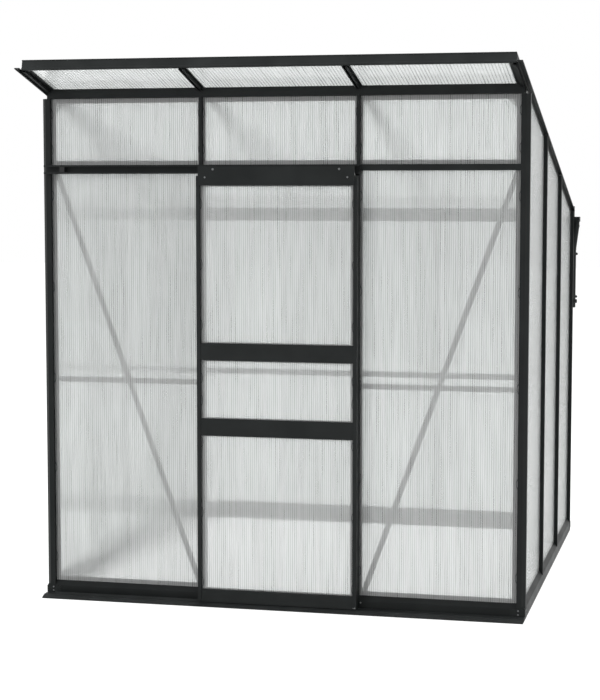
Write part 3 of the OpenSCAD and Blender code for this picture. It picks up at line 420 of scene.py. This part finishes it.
def clip_place(points):
    """The place of a wire bow on one CAD clip, from the clip's own flat faces."""
    middle = sum(points, Vector()) / len(points)
    # Thicker than any clip, so that a wall on the other side is never chosen
    far_side = 1.0
    # Points this close to a clip's upper end belong to its tip
    tip_l = 0.001

    def thickness(pair):
        low, high = span(points, pair[0])
        facing = (middle - room_middle).dot(pair[0])
        return high - low if facing > 0 else far_side

    outward, along = min(outward_and_along, key=thickness)
    bow = along.cross(outward)
    low, high = span(points, bow)
    # The wire's middle lies at the far side of the bow, its ends at the bar
    ends_low, ends_high = span(points, along)
    tips = [p for p in points if p.dot(along) > ends_high - tip_l]
    tip_reach = sum(p.dot(bow) for p in tips) / len(tips)
    seat = outward * span(points, outward)[0] + along * ((ends_low + ends_high) / 2)
    if tip_reach - low > high - tip_reach:
        bow, along = -bow, -along
        low = span(points, bow)[0]
    origin = seat + bow * low
    turn = Matrix((bow, -outward, along)).transposed()
    return Matrix.Translation(origin) @ turn.to_4x4()


# As high as the heads of the CAD screws
screw_head_h = 0.0018


def pan_screw():
    """A pan-head screw in its own place: it stands on a face at Y = 0 and points towards +Y."""
    head_r = 0.0035
    rim_r = 0.0009
    shank_r = 0.002
    shank_l = 0.009
    recess_span = 0.0038
    recess_w = 0.0009
    recess_depth = 0.0009
    bpy.ops.object.select_all(action="DESELECT")
    bpy.ops.mesh.primitive_cylinder_add(vertices=16, radius=head_r, depth=screw_head_h,
                                        location=(0.0, -screw_head_h / 2, 0.0),
                                        rotation=(radians(90), 0.0, 0.0))
    piece = bpy.context.object
    bpy.ops.object.transform_apply(location=True, rotation=True, scale=True)
    start_edit()
    bpy.ops.mesh.select_mode(type="VERT")
    # The rim of the head is rounded in three steps
    pick_verts(piece, lambda co: co.y < -screw_head_h + same_point)
    bpy.ops.mesh.bevel(offset=rim_r, segments=3, affect="EDGES")
    # The shank grows out of the underside
    pick_verts(piece, lambda co: co.y > -same_point)
    bpy.ops.mesh.inset(thickness=head_r - shank_r)
    bpy.ops.mesh.extrude_region_move(TRANSFORM_OT_translate={"value": (0.0, shank_l, 0.0)})
    bpy.ops.object.mode_set(mode="OBJECT")
    # A cross recess, one arm after the other
    for turn in (0, 90):
        bpy.ops.object.select_all(action="DESELECT")
        bpy.ops.mesh.primitive_cube_add(size=1.0, location=(0.0, -screw_head_h, 0.0),
                                        rotation=(0.0, radians(turn), 0.0),
                                        scale=(recess_span, 2 * recess_depth, recess_w))
        arm = bpy.context.object
        bpy.ops.object.transform_apply(location=True, rotation=True, scale=True)
        cut = piece.modifiers.new("recess", "BOOLEAN")
        cut.operation = "DIFFERENCE"
        cut.object = arm
        bpy.context.view_layer.objects.active = piece
        bpy.ops.object.modifier_apply(modifier=cut.name)
        bpy.data.objects.remove(arm, do_unlink=True)
    bpy.ops.object.select_all(action="DESELECT")
    piece.select_set(True)
    bpy.context.view_layer.objects.active = piece
    bpy.ops.object.shade_smooth_by_angle(angle=sharp_edge)
    return piece


def screw_place(points):
    """The place of a screw on its CAD solid: along its longest reach, with the head outside."""
    middle = sum(points, Vector()) / len(points)

    def length(outward):
        low, high = span(points, outward)
        return high - low if (middle - room_middle).dot(outward) > 0 else 0.0

    outward = max([pair[0] for pair in outward_and_along[:wall_count]], key=length)
    head_face = span(points, outward)[1]
    across = upright.cross(outward)
    origin = (outward * (head_face - screw_head_h) + across * (sum(span(points, across)) / 2)
              + upright * (sum(span(points, upright)) / 2))
    turn = Matrix((across, -outward, upright)).transposed()
    return Matrix.Translation(origin) @ turn.to_4x4()


for model, place_of, slot, uses in (
        (wire_bow(), clip_place, "spring_steel",
         (("glazing_clips", "glazing_clip_wires", "frame"),
          ("door_clips", "door_clip_wires", "door"))),
        (pan_screw(), screw_place, "fastener_steel",
         (("base_screws", "base_pan_screws", "frame"),
          ("door_screws", "door_pan_screws", "door")))):
    for node_name, piece_name, body in uses:
        places = [place_of(points) for points in solids_of(node_name)]
        piece = place_copies(model, places, piece_name, finishes[slot])
        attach(piece, body)
        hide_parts(node_name)
    bpy.data.objects.remove(model, do_unlink=True)

# The moulded collar at the end of the downpipe stands out further than the CAD ring under it
pipe_x = 0.953
pipe_y = 0.986
pipe_end_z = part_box("downpipe")[0][2]
collar_r = 0.0235
collar_h = 0.017
collar_up = 0.030
bpy.ops.object.select_all(action="DESELECT")
bpy.ops.mesh.primitive_cylinder_add(vertices=32, radius=collar_r, depth=collar_h,
                                    end_fill_type="NOTHING",
                                    location=(pipe_x, pipe_y, pipe_end_z + collar_up))
collar = bpy.context.object
collar.name = "downpipe_collar"
bpy.ops.object.transform_apply(location=True, rotation=True, scale=True)
wall = collar.modifiers.new("wall", "SOLIDIFY")
wall.thickness = 0.006
wall.offset = -1.0
bpy.ops.object.modifier_apply(modifier=wall.name)
round_rims(collar, 0.002)
bpy.ops.object.shade_smooth_by_angle(angle=sharp_edge)
collar.data.materials.append(plate)
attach(collar, "frame")

# A moulded cap closes the low end of each rafter, down to the gutter. The left one is modelled
# and copied to the right.
cap_size = Vector((0.039, 0.005, 0.050))
cap_x = 0.942
cap_y = 0.9685
cap_z = 1.5225
bpy.ops.object.select_all(action="DESELECT")
bpy.ops.mesh.primitive_cube_add(size=1.0, scale=cap_size, location=(-cap_x, cap_y, cap_z))
cap_left = bpy.context.object
cap_left.name = "rafter_cap_left"
bpy.ops.object.transform_apply(location=True, rotation=True, scale=True)
round_rims(cap_left, 0.0015)
# Its outer face is sunk inside a raised border
start_edit()
bpy.ops.mesh.select_mode(type="FACE")
shape = bmesh.from_edit_mesh(cap_left.data)
outer_face = max(shape.faces, key=lambda face: face.normal.y * face.calc_area())
outer_face.select = True
bmesh.update_edit_mesh(cap_left.data)
border_w = 0.003
sunk = 0.0015
bpy.ops.mesh.inset(thickness=border_w)
bpy.ops.transform.translate(value=(0.0, -sunk, 0.0))
bpy.ops.object.mode_set(mode="OBJECT")
bpy.ops.object.shade_smooth_by_angle(angle=sharp_edge)
cap_left.data.materials.append(nylon)
cap_right = bpy.data.objects.new("rafter_cap_right", cap_left.data.copy())
cap_right.data.transform(Matrix.Translation((2 * cap_x, 0.0, 0.0)))
bpy.context.collection.objects.link(cap_right)
for cap in (cap_left, cap_right):
    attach(cap, "frame")

# Floor, light and camera

white = grey(1.0)
world = bpy.data.worlds.new("studio")
bpy.context.scene.world = world
world.use_nodes = True
world.node_tree.nodes.clear()
sky = add_node(world.node_tree, "ShaderNodeBackground", {"Color": white, "Strength": 1.0})
add_node(world.node_tree, "ShaderNodeOutputWorld", {"Surface": sky.outputs["Background"]})

# Just under the base, so that the two faces don't share a plane
floor_z = -0.0005
bpy.ops.object.select_all(action="DESELECT")
bpy.ops.mesh.primitive_plane_add(size=60.0, location=(0.0, 0.0, floor_z))
floor = bpy.context.object
floor.name = "floor"
floor_material, floor_tree, _ = new_material("pale_floor")
# A glow that the camera, gloss and glass see as white, and that lights nothing else
ray = add_node(floor_tree, "ShaderNodeLightPath").outputs
camera_or_gloss = add_node(floor_tree, "ShaderNodeMath",
                           {0: ray["Is Camera Ray"], 1: ray["Is Glossy Ray"]},
                           operation="MAXIMUM")
sees_glow = add_node(floor_tree, "ShaderNodeMath",
                     {0: camera_or_gloss.outputs[0], 1: ray["Is Transmission Ray"]},
                     operation="MAXIMUM")
glow_strength = add_node(floor_tree, "ShaderNodeMath", {0: sees_glow.outputs[0], 1: 0.62},
                         operation="MULTIPLY")
floor_glow = add_node(floor_tree, "ShaderNodeEmission",
                      {"Color": white, "Strength": glow_strength.outputs[0]})
floor_look = add_node(floor_tree, "ShaderNodeBsdfDiffuse", {"Color": hex_colour("#b9bab9")})
floor_sum = add_node(floor_tree, "ShaderNodeAddShader",
                     {0: floor_look.outputs[0], 1: floor_glow.outputs[0]})
add_node(floor_tree, "ShaderNodeOutputMaterial", {"Surface": floor_sum.outputs[0]})
floor.data.materials.append(floor_material)


def area_lamp(name, place, turn, size, watts):
    """A square lamp, its turn in degrees, that leaves no speckles on glossy faces."""
    bpy.ops.object.light_add(type="AREA", location=place, rotation=[radians(a) for a in turn])
    lamp = bpy.context.object
    lamp.name = name
    lamp.data.size = size
    lamp.data.energy = watts
    lamp.visible_glossy = False


area_lamp("key_left", (-4.5, -8.0, 3.6), (68, 0, -30), size=4.0, watts=420.0)
area_lamp("fill_right", (6.5, -3.0, 4.0), (62, 0, 65), size=4.0, watts=220.0)
area_lamp("top", (0.0, 1.0, 7.0), (0, 0, 0), size=5.0, watts=260.0)

camera_tilt = radians(84.97)
camera_heading = radians(13.41)
bpy.ops.object.camera_add(location=(1.722, -7.829, 1.633),
                          rotation=(camera_tilt, 0.0, camera_heading))
camera = bpy.context.object
camera.data.lens = 94.63
camera.data.sensor_width = 36.0
bpy.context.scene.camera = camera
bpy.context.scene.view_settings.view_transform = "Standard"
